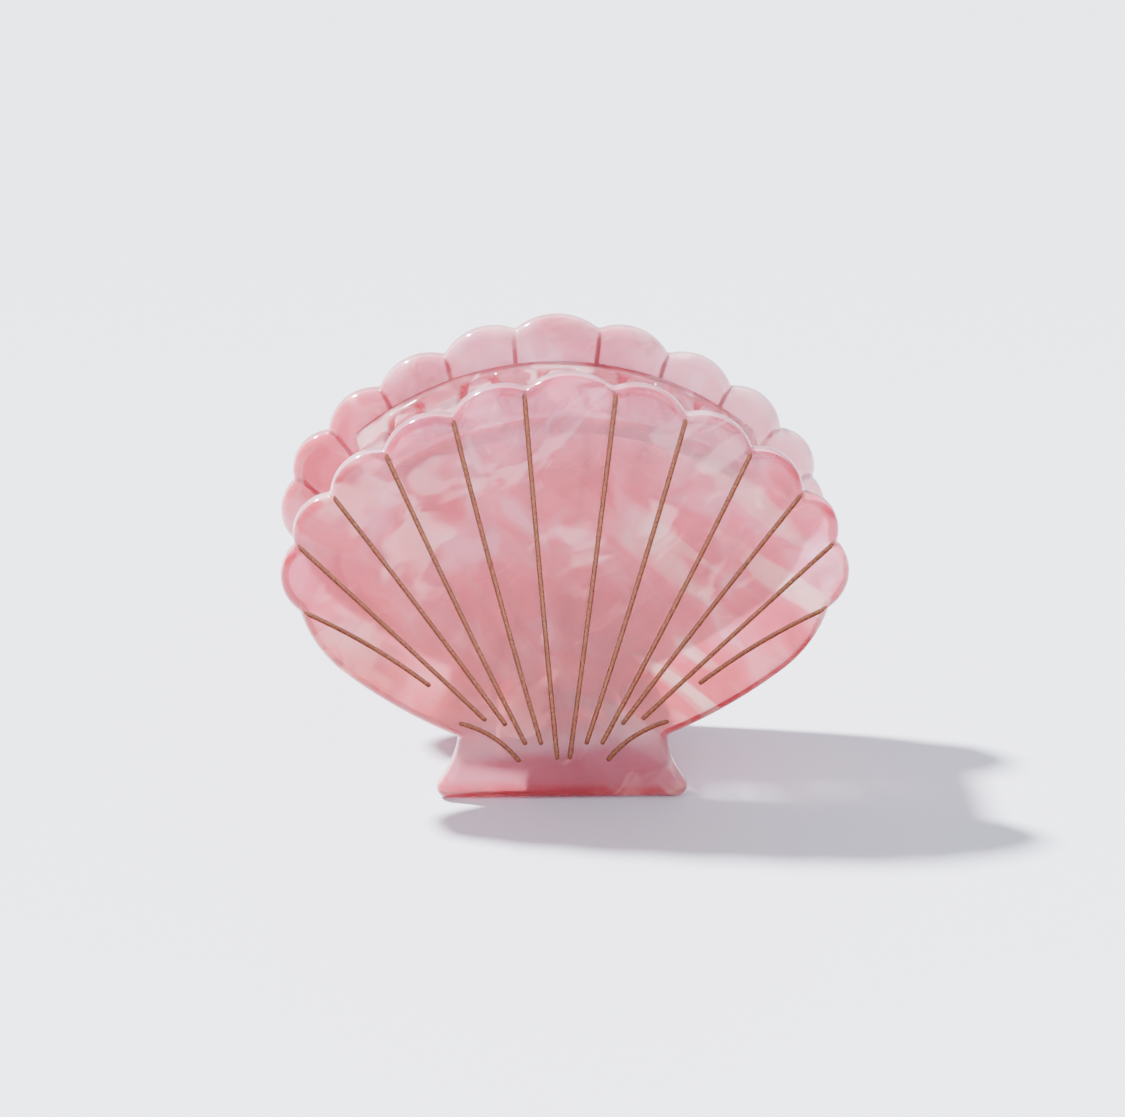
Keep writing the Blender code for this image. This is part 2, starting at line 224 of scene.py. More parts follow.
def shell_outline():
    """The whole shell in X and Z, clockwise from the middle of its top."""
    top = CUSPS[0]
    right = arc((-top[0], top[1]), top, TOP_LOBE_RISE, LOBE_STEPS)[LOBE_STEPS // 2 :]
    corners = []
    for start, end, rise in zip(CUSPS, CUSPS[1:], LOBE_RISES):
        corners.append(len(right))
        right += arc(start, end, rise, LOBE_STEPS)
    corners.append(len(right))
    right += arc(CUSPS[-1], SHOULDER, SHOULDER_RISE, SIDE_STEPS)
    right += arc(SHOULDER, NECK, NECK_RISE, NECK_STEPS)
    corners.append(len(right))
    right += arc(NECK, FOOT_SIDE, FOOT_SIDE_RISE, FOOT_STEPS)
    corner_centre = (
        FOOT_SIDE[0] - FOOT_CORNER_RADIUS * math.cos(FOOT_CORNER_START),
        FOOT_CORNER_RADIUS,
    )
    right += circle_points(
        corner_centre, FOOT_CORNER_RADIUS, FOOT_CORNER_START, -math.pi / 2, SIDE_STEPS
    )
    rounded = []
    for index, point in enumerate(right):
        if index in corners:
            rounded += softened(right[index - 1], point, right[index + 1])
        else:
            rounded.append(point)
    return rounded + [(-x, z) for x, z in reversed(rounded[1:])]


def along_y(x, z, y):
    return (x, y, z)


def along_x(y, z, x):
    return (x, y, z)


def flat_place(u, v, w):
    return (u, v, w)


def extrude(shape, outline, place, length_start, length_end):
    """A prism of the outline between two lengths, set in space by the function place."""
    near = [shape.verts.new(place(u, v, length_start)) for u, v in outline]
    far = [shape.verts.new(place(u, v, length_end)) for u, v in outline]
    shape.faces.new(near)
    shape.faces.new(reversed(far))
    for index in range(len(outline)):
        following = (index + 1) % len(outline)
        shape.faces.new((near[index], far[index], far[following], near[following]))
    bmesh.ops.recalc_face_normals(shape, faces=shape.faces[:])


def to_mesh(shape, name):
    bmesh.ops.recalc_face_normals(shape, faces=shape.faces[:])
    mesh = bpy.data.meshes.new(name)
    shape.to_mesh(mesh)
    shape.free()
    return mesh


def add_object(name, mesh, *materials):
    obj = bpy.data.objects.new(name, mesh)
    bpy.context.scene.collection.objects.link(obj)
    for surface in materials:
        mesh.materials.append(surface)
    return obj


def settle(obj):
    """Puts the evaluated mesh in the place of the object's modifiers."""
    graph = bpy.context.evaluated_depsgraph_get()
    mesh = bpy.data.meshes.new_from_object(obj.evaluated_get(graph), depsgraph=graph)
    mesh.name = obj.name
    obj.modifiers.clear()
    obj.data = mesh
    return obj


def smooth(obj, angle=SMOOTH_ANGLE):
    obj.data.shade_smooth()
    obj.data.set_sharp_from_angle(angle=math.radians(angle))


def cut(obj, other_mesh, operation):
    """A Boolean worked out in millimetres, where the small features are safely far apart."""
    grow = Matrix.Scale(1000, 4)
    obj.data.transform(grow)
    other_mesh.transform(grow)
    helper = bpy.data.objects.new("helper", other_mesh)
    bpy.context.scene.collection.objects.link(helper)
    modifier = obj.modifiers.new("cut", "BOOLEAN")
    modifier.operation = operation
    modifier.solver = "EXACT"
    modifier.material_mode = "TRANSFER"
    modifier.object = helper
    settle(obj)
    obj.data.transform(grow.inverted())
    bpy.data.objects.remove(helper, do_unlink=True)


def ring_sweep(shape, rings):
    """Skins closed rings of points, with one flat face at each end."""
    loops = [[shape.verts.new(point) for point in ring] for ring in rings]
    for first, second in zip(loops, loops[1:]):
        size = len(first)
        for index in range(size):
            following = (index + 1) % size
            shape.faces.new((first[index], second[index], second[following], first[following]))
    shape.faces.new(loops[0])
    shape.faces.new(reversed(loops[-1]))


def capsule(shape, path, radius, y):
    """A round bar with round ends along a path in X and Z, at depth y."""
    headings = []
    for index in range(len(path)):
        a = path[max(0, index - 1)]
        b = path[min(len(path) - 1, index + 1)]
        headings.append(math.atan2(b[1] - a[1], b[0] - a[0]))
    rings = []

    def ring(point, heading, size, shift):
        x = point[0] + math.cos(heading) * shift
        z = point[1] + math.sin(heading) * shift
        side = (-math.sin(heading), math.cos(heading))
        made = []
        for step in range(LINE_SIDES):
            turn = 2 * math.pi * (step + 0.5) / LINE_SIDES
            aside = size * math.cos(turn)
            made.append((x + side[0] * aside, y + size * math.sin(turn), z + side[1] * aside))
        return made

    for step in range(LINE_CAP_STEPS, 0, -1):
        lift = math.pi / 2 * step / (LINE_CAP_STEPS + LINE_CAP_POLE)
        rings.append(ring(path[0], headings[0], radius * math.cos(lift), -radius * math.sin(lift)))
    for point, heading in zip(path, headings):
        rings.append(ring(point, heading, radius, 0))
    for step in range(1, LINE_CAP_STEPS + 1):
        lift = math.pi / 2 * step / (LINE_CAP_STEPS + LINE_CAP_POLE)
        rings.append(ring(path[-1], headings[-1], radius * math.cos(lift), radius * math.sin(lift)))
    ring_sweep(shape, rings)


def inset_outline(outline, distance):
    """The clockwise outline moved inwards by a distance."""
    size = len(outline)
    normals = []
    for index in range(size):
        (x0, z0), (x1, z1) = outline[index], outline[(index + 1) % size]
        length = math.hypot(x1 - x0, z1 - z0)
        normals.append(((z1 - z0) / length, -(x1 - x0) / length))
    moved = []
    for index, (x, z) in enumerate(outline):
        before, after = normals[index - 1], normals[index]
        share = distance / (1 + before[0] * after[0] + before[1] * after[1])
        moved.append((x + (before[0] + after[0]) * share, z + (before[1] + after[1]) * share))
    return moved


def shell_piece(name, acetate, rim, paint):
    """The plate with a bull-nosed rim and round-bottomed lines, facing -Y, centred on y = 0."""
    half = PLATE_THICKNESS / 2
    profile = [(RIM_RADIUS + FACE_INSET, half)]
    for step in range(RIM_STEPS + 1):
        turn = math.pi / 2 * step / RIM_STEPS
        profile.append(
            (RIM_RADIUS * (1 - math.sin(turn)), half - RIM_RADIUS * (1 - math.cos(turn)))
        )
    profile = [(d, -y) for d, y in profile] + [(d, y) for d, y in reversed(profile)]
    outline = shell_outline()
    shape = bmesh.new()
    rings = []
    for distance, y in profile:
        rings.append([(x, y, z) for x, z in inset_outline(outline, distance)])
    ring_sweep(shape, rings)
    shape.normal_update()
    # The rim faces take the second material, a paler copy of the acetate: a painted sheen along the
    # rounded edge.
    for face in shape.faces:
        face.material_index = 0 if abs(face.normal.y) > RIM_FACE_NORMAL else 1
    plate = add_object(name, to_mesh(shape, name), acetate, rim)
    shape = bmesh.new()
    for start, end, bow in LINES:
        for side in (1, -1):
            first = (side * start[0], start[1])
            last = (side * end[0], end[1])
            path = arc(first, last, side * bow, LINE_STEPS) + [last]
            capsule(shape, path, LINE_RADIUS, -half)
    lines = to_mesh(shape, "lines")
    lines.materials.append(paint)
    cut(plate, lines, "DIFFERENCE")
    smooth(plate, ROUND_SMOOTH_ANGLE)
    return plate


def comb_outline(teeth):
    """A flat comb: its length along the first axis, its teeth along the second, from zero up."""
    pitch = COMB_RADIUS * TOOTH_PITCH
    tip_height = INNER_FACE_Y + TOOTH_REACH
    tip_radius = TOOTH_TIP / 2
    half_root = TOOTH_ROOT / 2
    outline = [(teeth[0] * pitch - half_root, 0.0)]
    for tooth in teeth:
        middle = tooth * pitch
        if tooth != teeth[0]:
            corner = (middle - half_root - ROOT_FILLET, COMB_WEB + ROOT_FILLET)
            outline += circle_points(corner, ROOT_FILLET, -math.pi / 2, 0, ROOT_STEPS)
        outline += circle_points(
            (middle, tip_height - tip_radius), tip_radius, math.pi, 0, TIP_STEPS
        )
        if tooth != teeth[-1]:
            corner = (middle + half_root + ROOT_FILLET, COMB_WEB + ROOT_FILLET)
            outline += circle_points(corner, ROOT_FILLET, math.pi, 1.5 * math.pi, ROOT_STEPS)
    outline.append((teeth[-1] * pitch + half_root, 0.0))
    return outline


def comb_piece(name, teeth, acetate):
    """A comb cut flat, its edges rounded, then bent to the arc. It grows from y = -INNER_FACE_Y."""
    shape = bmesh.new()
    extrude(shape, comb_outline(teeth), flat_place, 0, COMB_THICKNESS)
    rims = [
        edge
        for edge in shape.edges
        if abs(edge.verts[0].co.z - edge.verts[1].co.z) < SAME_PLACE
        and max(edge.verts[0].co.y, edge.verts[1].co.y) > OFF_BASE
    ]
    bmesh.ops.bevel(
        shape,
        geom=rims,
        offset=COMB_EDGE,
        offset_type="OFFSET",
        segments=COMB_EDGE_STEPS,
        profile=0.5,
        affect="EDGES",
        clamp_overlap=False,
    )
    step = COMB_RADIUS * COMB_BEND_STEP
    reach = max(vert.co.x for vert in shape.verts)
    cut_count = int(reach / step)
    for index in range(-cut_count, cut_count + 1):
        bmesh.ops.bisect_plane(
            shape,
            geom=shape.verts[:] + shape.edges[:] + shape.faces[:],
            plane_co=((index + COMB_BEND_PHASE) * step, 0, 0),
            plane_no=(1, 0, 0),
            dist=SAME_PLACE,
        )
    for vert in shape.verts:
        angle = vert.co.x / COMB_RADIUS
        radius = COMB_RADIUS - vert.co.z
        depth = vert.co.y - INNER_FACE_Y
        vert.co = (radius * math.sin(angle), depth, COMB_CENTRE_Z + radius * math.cos(angle))
    obj = add_object(name, to_mesh(shape, name), acetate)
    smooth(obj, ROUND_SMOOTH_ANGLE)
    return obj


def arch_outline():
    """The dome's wall, seen along Y."""
    inner = ARCH_RADIUS - ARCH_WALL
    centre = (0, ARCH_CENTRE_Z)
    outside = circle_points(centre, ARCH_RADIUS, 0, math.pi, ARCH_STEPS)
    inside = circle_points(centre, inner, math.pi, 0, ARCH_STEPS)
    base = ARCH_BASE_Z
    return (
        [(ARCH_RADIUS, base)]
        + outside
        + [(-ARCH_RADIUS, base), (-inner, base)]
        + inside
        + [(inner, base)]
    )


def lug_side_outline():
    """What the front half keeps of the dome, seen along X: up to the crown, with the pin's lugs."""
    top = ARCH_CENTRE_Z + ARCH_RADIUS + STOP_GAP
    back = -INNER_FACE_Y - SIDE_OVERLAP
    low = ARCH_BASE_Z - STOP_GAP
    lug = circle_points((0, HINGE_Z), LUG_RADIUS, LUG_START, math.pi / 2, LUG_STEPS)
    crown = -STOP_GAP / 2
    return (
        [(back, low), (-2 * LUG_RADIUS, low)]
        + lug
        + [(crown, HINGE_Z + LUG_RADIUS), (crown, top), (back, top)]
    )


def relieved_side_outline():
    """What the rear half keeps of the dome, seen along X: up to the crown, clear of the lugs."""
    top = ARCH_CENTRE_Z + ARCH_RADIUS + STOP_GAP
    back = INNER_FACE_Y + SIDE_OVERLAP
    low = ARCH_BASE_Z - STOP_GAP
    crown = STOP_GAP / 2
    relief_radius = LUG_RADIUS + LUG_CLEARANCE
    crown_angle = math.acos(crown / relief_radius)
    relief = circle_points((0, HINGE_Z), relief_radius, RELIEF_START, crown_angle, LUG_STEPS)
    return [(back, low), (relief[0][0] + LUG_RADIUS / 2, low)] + relief + [(crown, top), (back, top)]


def cheek_outline():
    """A cheek of the rear half, seen along X, with the pin's eye at its front."""
    back = INNER_FACE_Y
    lug = circle_points((0, HINGE_Z), LUG_RADIUS, 1.5 * math.pi, CHEEK_LUG_END, CHEEK_STEPS)
    return [(back, HINGE_Z - LUG_RADIUS)] + lug + [(LUG_RADIUS / 2, CHEEK_TOP), (back, CHEEK_TOP)]


def prism(outline, place, start, end, name):
    shape = bmesh.new()
    extrude(shape, outline, place, start, end)
    return to_mesh(shape, name)


def turned(profile, sides, name):
    """A solid turned about the hinge axis from pairs of x and radius."""
    shape = bmesh.new()
    rings = []
    for x, radius in profile:
        ring = circle_points((0, HINGE_Z), radius, 0, 2 * math.pi, sides)[:-1]
        rings.append([(x, y, z) for y, z in ring])
    ring_sweep(shape, rings)
    return to_mesh(shape, name)


def bore_mesh():
    reach = ARCH_RADIUS + PIN_HEAD_THICKNESS
    return turned([(-reach, PIN_BORE_RADIUS), (reach, PIN_BORE_RADIUS)], PIN_SIDES, "bore")


def weld(obj, distance, flat_angle=0.0):
    """Joins points closer than distance, then faces that lie within flat_angle of each other."""
    shape = bmesh.new()
    shape.from_mesh(obj.data)
    bmesh.ops.remove_doubles(shape, verts=shape.verts[:], dist=distance)
    if flat_angle:
        bmesh.ops.dissolve_limit(
            shape, angle_limit=flat_angle, verts=shape.verts[:], edges=shape.edges[:]
        )
    shape.to_mesh(obj.data)
    shape.free()


def ease_edges(obj):
    """Breaks the sharp edges of a cut piece, as polishing does."""
    weld(obj, CUT_WELD, FLAT_ANGLE)
    modifier = obj.modifiers.new("eased", "BEVEL")
    modifier.limit_method = "ANGLE"
    modifier.angle_limit = EASED_ANGLE
    modifier.width = EASED_EDGE
    modifier.segments = EASED_STEPS
    settle(obj)
    weld(obj, EASED_WELD)
    smooth(obj)


def front_arch_piece(acetate):
    reach = 2 * ARCH_RADIUS
    mesh = prism(arch_outline(), along_y, -INNER_FACE_Y, 2 * LUG_RADIUS, "front_arch")
    obj = add_object("front_hinge_bracket", mesh, acetate)
    cut(obj, prism(lug_side_outline(), along_x, -reach, reach, "side"), "INTERSECT")
    cut(obj, bore_mesh(), "DIFFERENCE")
    ease_edges(obj)
    return obj


def rear_arch_piece(acetate):
    reach = 2 * ARCH_RADIUS
    mesh = prism(arch_outline(), along_y, -LUG_RADIUS, INNER_FACE_Y, "rear_arch")
    obj = add_object("rear_hinge_bracket", mesh, acetate)
    cut(obj, prism(relieved_side_outline(), along_x, -reach, reach, "side"), "INTERSECT")
    shape = bmesh.new()
    for side in (1, -1):
        extrude(shape, cheek_outline(), along_x, side * CHEEK_INNER, side * CHEEK_OUTER)
    cut(obj, to_mesh(shape, "cheeks"), "UNION")
    cut(obj, bore_mesh(), "DIFFERENCE")
    ease_edges(obj)
    return obj


def pin_piece(steel):
    inside = ARCH_RADIUS + PIN_HEAD_GAP
    half = [(inside, PIN_RADIUS), (inside, PIN_HEAD_FOOT * PIN_HEAD_RADIUS)]
    for step in range(PIN_HEAD_STEPS + 1):
        turn = math.pi / 2 * step / PIN_HEAD_STEPS
        x = inside + PIN_HEAD_THICKNESS * (PIN_HEAD_SIDE + PIN_HEAD_DOME * math.sin(turn))
        half.append((x, PIN_HEAD_RADIUS * max(math.cos(turn), PIN_HEAD_TIP)))
    profile = [(-x, radius) for x, radius in reversed(half)] + half
    obj = add_object("steel_pin", turned(profile, PIN_SIDES, "steel_pin"), steel)
    smooth(obj)
    return obj


def spring_piece(steel):
    coil_top = HINGE_Z + COIL_RADIUS
    steps = COIL_TURNS * COIL_STEPS
    path = [(-COIL_HALF_LENGTH, -LEG_REACH, LEG_END_Z)]
    path.append((-COIL_HALF_LENGTH, -COIL_RADIUS / 2, coil_top))
    for step in range(steps + 1):
        turn = 2 * math.pi * step / COIL_STEPS
        x = COIL_HALF_LENGTH * (2 * step / steps - 1)
        path.append((x, COIL_RADIUS * math.sin(turn), HINGE_Z + COIL_RADIUS * math.cos(turn)))
    path.append((COIL_HALF_LENGTH, COIL_RADIUS / 2, coil_top))
    path.append((COIL_HALF_LENGTH, LEG_REACH, LEG_END_Z))
    curve = bpy.data.curves.new("spring_wire", "CURVE")
    curve.dimensions = "3D"
    curve.bevel_depth = WIRE_RADIUS
    curve.bevel_resolution = 4
    curve.use_fill_caps = True
    spline = curve.splines.new("POLY")
    spline.points.add(len(path) - 1)
    for point, place in zip(spline.points, path):
        point.co = (*place, 1)
    wire = bpy.data.objects.new("wire", curve)
    bpy.context.scene.collection.objects.link(wire)
    graph = bpy.context.evaluated_depsgraph_get()
    mesh = bpy.data.meshes.new_from_object(wire.evaluated_get(graph), depsgraph=graph)
    bpy.data.objects.remove(wire, do_unlink=True)
    mesh.materials.clear()
    obj = add_object("spring_coil", mesh, steel)
    smooth(obj)
    return obj


# Materials. Their colours are given in steps of 0 to 255, as a picture shows them.


PINKS = (
    (0.33, (246, 182, 202)),
    (0.43, (240, 138, 164)),
    (0.54, (234, 92, 126)),
    (0.68, (214, 54, 88)),
)
MILK = (251, 204, 202)
ROSE = (216, 58, 104)
# The colour of the painted shade towards the bottom.
PAINTED_LOWER_SHADE = (238, 172, 166)
# The cream of the painted light stripes.
STRIPE_LIGHT_CREAM = (252, 222, 206)
FOOT_PINK = (226, 158, 176)
CORAL = (240, 136, 124)
# The colour of the painted sky reflection at the top.
SKY_REFLECTION_LILAC = (238, 196, 226)
RIGHT_PALE = (252, 226, 232)
PALE = (252, 230, 240)
BRONZES = (
    (0.32, (104, 56, 40)),
    (0.50, (140, 80, 54)),
    (0.68, (170, 106, 74)),
)
WORN_BRONZE = (128, 72, 48)
STEELS = ((0.3, (176, 176, 180)), (0.7, (214, 213, 212)))
FLOOR_COLOR = (231, 235, 250)
WORLD_COLOR = (246, 248, 255)

# Where each pattern of the acetate starts and is whole, as values of its noise.
PEARL_CUT = (0.49, 0.66)
# Where the painted light stripes start and are whole, as values of their noise.
LIGHT_STRIPES_CUT = (0.52, 0.62)
BLOTCHES_CUT = (0.50, 0.66)
MILK_SHARE = 0.62
MILK_CLEARNESS = 0.6
TOP_CLEARNESS = 0.4
FOOT_SHARE = 0.62

# Where each region of the clip starts and is whole, in metres along X or Z.
# The painted light stripes fade out towards the left across this span of X.
LIGHT_STRIPES_X = (0.000, 0.022)
RIGHT_PALE_X = (0.002, 0.034)
# Where the painted shade towards the bottom starts and is whole.
PAINTED_SHADE_Z = (0.050, 0.016)
FOOT_Z = (0.014, 0.008)
# Along the foot's bottom edge the painted shade shows through the foot's pink as a dark band.
SHADED_FOOT_EDGE_Z = (0.0014, 0.0030)
# Where the painted sky reflection at the top starts and is whole.
SKY_REFLECTION_Z = (0.050, 0.064)
CLEAR_Z = (0.048, 0.060)


def linear(red, green, blue):
    made = []
    for value in (red, green, blue):
        share = value / 255
        made.append(share / 12.92 if share <= 0.04045 else ((share + 0.055) / 1.055) ** 2.4)
    return (*made, 1)


class Nodes:
    """A small helper that adds nodes and links them."""

    def __init__(self, name):
        self.material = bpy.data.materials.new(name)
        self.material.use_nodes = True
        self.tree = self.material.node_tree
        self.shader = self.tree.nodes["Principled BSDF"]

    def add(self, kind, **values):
        node = self.tree.nodes.new(kind)
        for key, value in values.items():
            setattr(node, key, value)
        return node

    def link(self, source, target):
        self.tree.links.new(source, target)

    def place(self):
        return self.add("ShaderNodeTexCoord").outputs["Object"]

    def warped(self, place, offset, lean, stretch, warp_scale, warp):
        """A place turned by lean about Y, squeezed by stretch, then pushed about by a noise."""
        mapping = self.add("ShaderNodeMapping", vector_type="TEXTURE")
        mapping.inputs["Location"].default_value = offset
        mapping.inputs["Rotation"].default_value = (0, math.radians(lean), 0)
        mapping.inputs["Scale"].default_value = tuple(1 / share for share in stretch)
        self.link(place, mapping.inputs["Vector"])
        noise = self.add("ShaderNodeTexNoise")
        noise.inputs["Scale"].default_value = warp_scale
        noise.inputs["Detail"].default_value = 2
        self.link(mapping.outputs[0], noise.inputs["Vector"])
        centred = self.add("ShaderNodeVectorMath", operation="SUBTRACT")
        centred.inputs[1].default_value = (0.5, 0.5, 0.5)
        self.link(noise.outputs["Color"], centred.inputs[0])
        scaled = self.add("ShaderNodeVectorMath", operation="SCALE")
        scaled.inputs["Scale"].default_value = warp
        self.link(centred.outputs[0], scaled.inputs[0])
        total = self.add("ShaderNodeVectorMath", operation="ADD")
        self.link(mapping.outputs[0], total.inputs[0])
        self.link(scaled.outputs[0], total.inputs[1])
        return total.outputs[0]

    def noise(self, vector, scale, detail, roughness=0.5, distortion=0.0):
        node = self.add("ShaderNodeTexNoise")
        node.inputs["Distortion"].default_value = distortion
        node.inputs["Scale"].default_value = scale
        node.inputs["Detail"].default_value = detail
        node.inputs["Roughness"].default_value = roughness
        self.link(vector, node.inputs["Vector"])
        return node.outputs["Fac"]

    def ramp(self, factor, stops):
        node = self.add("ShaderNodeValToRGB")
        node.color_ramp.interpolation = "EASE"
        elements = node.color_ramp.elements
        while len(elements) < len(stops):
            elements.new(0.5)
        for element, (position, color) in zip(elements, stops):
            element.position = position
            element.color = linear(*color)
        self.link(factor, node.inputs["Fac"])
        return node.outputs["Color"]

    def mix(self, factor, first, second, blend="MIX"):
        node = self.add("ShaderNodeMix", data_type="RGBA", blend_type=blend)
        inputs = (node.inputs[0], node.inputs[6], node.inputs[7])
        for socket, value in zip(inputs, (factor, first, second)):
            if isinstance(value, (float, int, tuple)):
                socket.default_value = value
            else:
                self.link(value, socket)
        return node.outputs[2]

    def math(self, operation, first, second):
        node = self.add("ShaderNodeMath", operation=operation)
        self.link(first, node.inputs[0])
        self.link(second, node.inputs[1])
        return node.outputs[0]

    def map_range(self, value, low, high, to_low, to_high):
        node = self.add("ShaderNodeMapRange")
        node.interpolation_type = "SMOOTHSTEP"
        node.inputs["From Min"].default_value = low
        node.inputs["From Max"].default_value = high
        node.inputs["To Min"].default_value = to_low
        node.inputs["To Max"].default_value = to_high
        self.link(value, node.inputs["Value"])
        return node.outputs["Result"]

    def bump(self, height, strength, distance):
        node = self.add("ShaderNodeBump")
        node.inputs["Strength"].default_value = strength
        node.inputs["Distance"].default_value = distance
        self.link(height, node.inputs["Height"])
        self.link(node.outputs[0], self.shader.inputs["Normal"])


def acetate(
    name,
    offset,
    clear,
    warmth=0.0,
    paleness=0.0,
    # How much painted sky reflection tints the top, and how much clearer the top is.
    clear_top_and_sky_reflection=0.0,
    right_pale=0.0,
    # How strong the painted light stripes are.
    stripe_light=0.2,
    depth=0.2,
    # How strongly the painted shade darkens the bottom.
    painted_shade_amount=1.0,
):
    """Marbled pearl acetate: pale pearl, pink and coral swirls in a slightly clear sheet, with painted
    light stripes on the right, painted shade towards the bottom and a painted sky reflection towards
    the top.
    """
    nodes = Nodes(name)
    x, y, z = offset
    place = nodes.place()
    sides = nodes.add("ShaderNodeSeparateXYZ")
    nodes.link(place, sides.inputs[0])
    across = sides.outputs["X"]
    height = sides.outputs["Z"]

    swirl = nodes.warped(place, offset, lean=52, stretch=(1, 1.2, 1.45), warp_scale=50, warp=0.034)
    swirls = nodes.noise(swirl, scale=84, detail=2.2, roughness=0.42, distortion=0.5)
    tint = nodes.ramp(swirls, PINKS)

    milk = nodes.warped(
        place, (x, y + 0.4, z + 0.2), lean=-35, stretch=(1, 1.2, 1.5), warp_scale=52, warp=0.030
    )
    milk = nodes.noise(milk, scale=88, detail=2.0, roughness=0.45, distortion=0.4)
    pearl = nodes.map_range(milk, *PEARL_CUT, 0, 1)
    tint = nodes.mix(nodes.map_range(pearl, 0, 1, 0, MILK_SHARE), tint, linear(*MILK))

    # Painted light: cream diagonal stripes, fading out to the left, stand in for light that falls
    # between the comb's teeth onto the plate.
    light_stripes = nodes.warped(
        place, (x + 0.3, y, z + 0.7), lean=38, stretch=(1, 1.2, 6.0), warp_scale=30, warp=0.006
    )
    light_stripes = nodes.noise(light_stripes, scale=56, detail=0.6, roughness=0.4)
    light_stripes = nodes.map_range(light_stripes, *LIGHT_STRIPES_CUT, 0, stripe_light)
    light_stripes = nodes.math("MULTIPLY", light_stripes, nodes.map_range(across, *LIGHT_STRIPES_X, 0.15, 1))

    blotches = nodes.warped(
        place, (x + 0.5, y, z), lean=20, stretch=(1, 1.2, 1.3), warp_scale=40, warp=0.03
    )
    blotches = nodes.noise(blotches, scale=60, detail=1.0, roughness=0.4)
    blotches = nodes.map_range(blotches, *BLOTCHES_CUT, 0, depth)
    tint = nodes.mix(blotches, tint, linear(*ROSE))

    # Painted shade: the colour is multiplied darker towards the bottom of the plate, where the hinge
    # shades it.
    low = nodes.map_range(height, *PAINTED_SHADE_Z, 0, painted_shade_amount)
    tint = nodes.mix(low, tint, linear(*PAINTED_LOWER_SHADE), "MULTIPLY")
    # The painted light stripes are laid on in cream.
    tint = nodes.mix(light_stripes, tint, linear(*STRIPE_LIGHT_CREAM))
    # The foot turns pinker, but less so along its bottom edge, which keeps a dark band of the painted
    # shade.
    foot = nodes.map_range(height, *FOOT_Z, 0, FOOT_SHARE)
    foot = nodes.math("MULTIPLY", foot, nodes.map_range(height, *SHADED_FOOT_EDGE_Z, 0.2, 1))
    tint = nodes.mix(foot, tint, linear(*FOOT_PINK))
    tint = nodes.mix(warmth, tint, linear(*CORAL))
    # Painted reflection: paler lilac towards the top stands in for the bright sky mirrored by the plate
    # and the bright backdrop seen through it.
    sky_reflection = nodes.map_range(height, *SKY_REFLECTION_Z, 0, clear_top_and_sky_reflection)
    tint = nodes.mix(sky_reflection, tint, linear(*SKY_REFLECTION_LILAC))
    pale = nodes.map_range(across, *RIGHT_PALE_X, 0, right_pale)
    tint = nodes.mix(pale, tint, linear(*RIGHT_PALE))
    tint = nodes.mix(paleness, tint, linear(*PALE))
    nodes.link(tint, nodes.shader.inputs["Base Color"])

    see_through = nodes.map_range(pearl, 0, 1, clear, clear * MILK_CLEARNESS)
    upper = nodes.map_range(height, *CLEAR_Z, 0, TOP_CLEARNESS * clear_top_and_sky_reflection)
    see_through = nodes.math("ADD", see_through, upper)
    nodes.link(see_through, nodes.shader.inputs["Transmission Weight"])
    shader = nodes.shader.inputs
    shader["Roughness"].default_value = 0.10
    shader["IOR"].default_value = 1.48
    shader["Subsurface Weight"].default_value = 1.0
    shader["Subsurface Radius"].default_value = (1.0, 0.6, 0.55)
    shader["Subsurface Scale"].default_value = 0.003
    shader["Subsurface Anisotropy"].default_value = 0.6
    shader["Coat Weight"].default_value = 0.4
    shader["Coat Roughness"].default_value = 0.04
    nodes.bump(nodes.noise(swirl, scale=60, detail=1), strength=0.05, distance=0.001)
    return nodes.material


def bronze_paint():
    """Matt metallic paint with a fine grain, darker where it has worn."""
    nodes = Nodes("bronze_paint")
    place = nodes.place()
    grain = nodes.noise(place, scale=2600, detail=3, roughness=0.6)
    worn = nodes.map_range(nodes.noise(place, scale=160, detail=2), 0.42, 0.7, 0, 0.45)
    tint = nodes.mix(worn, nodes.ramp(grain, BRONZES), linear(*WORN_BRONZE))
    nodes.link(tint, nodes.shader.inputs["Base Color"])
    nodes.shader.inputs["Metallic"].default_value = 0.35
    nodes.link(nodes.map_range(grain, 0.3, 0.7, 0.55, 0.35), nodes.shader.inputs["Roughness"])
    nodes.bump(grain, strength=0.4, distance=0.0001)
    return nodes.material


def drawn_steel():
    """Bright wire with a fine grain."""
    nodes = Nodes("drawn_steel")
    grain = nodes.noise(nodes.place(), scale=1800, detail=3)
    nodes.link(nodes.ramp(grain, STEELS), nodes.shader.inputs["Base Color"])
    nodes.shader.inputs["Metallic"].default_value = 1.0
    nodes.link(nodes.map_range(grain, 0.3, 0.7, 0.18, 0.32), nodes.shader.inputs["Roughness"])
    return nodes.material


def floor_material():
    nodes = Nodes("pale_floor")
    nodes.shader.inputs["Base Color"].default_value = linear(*FLOOR_COLOR)
    nodes.shader.inputs["Roughness"].default_value = 0.35
    nodes.shader.inputs["Specular IOR Level"].default_value = 0.4
    return nodes.material


# Camera, light and floor.

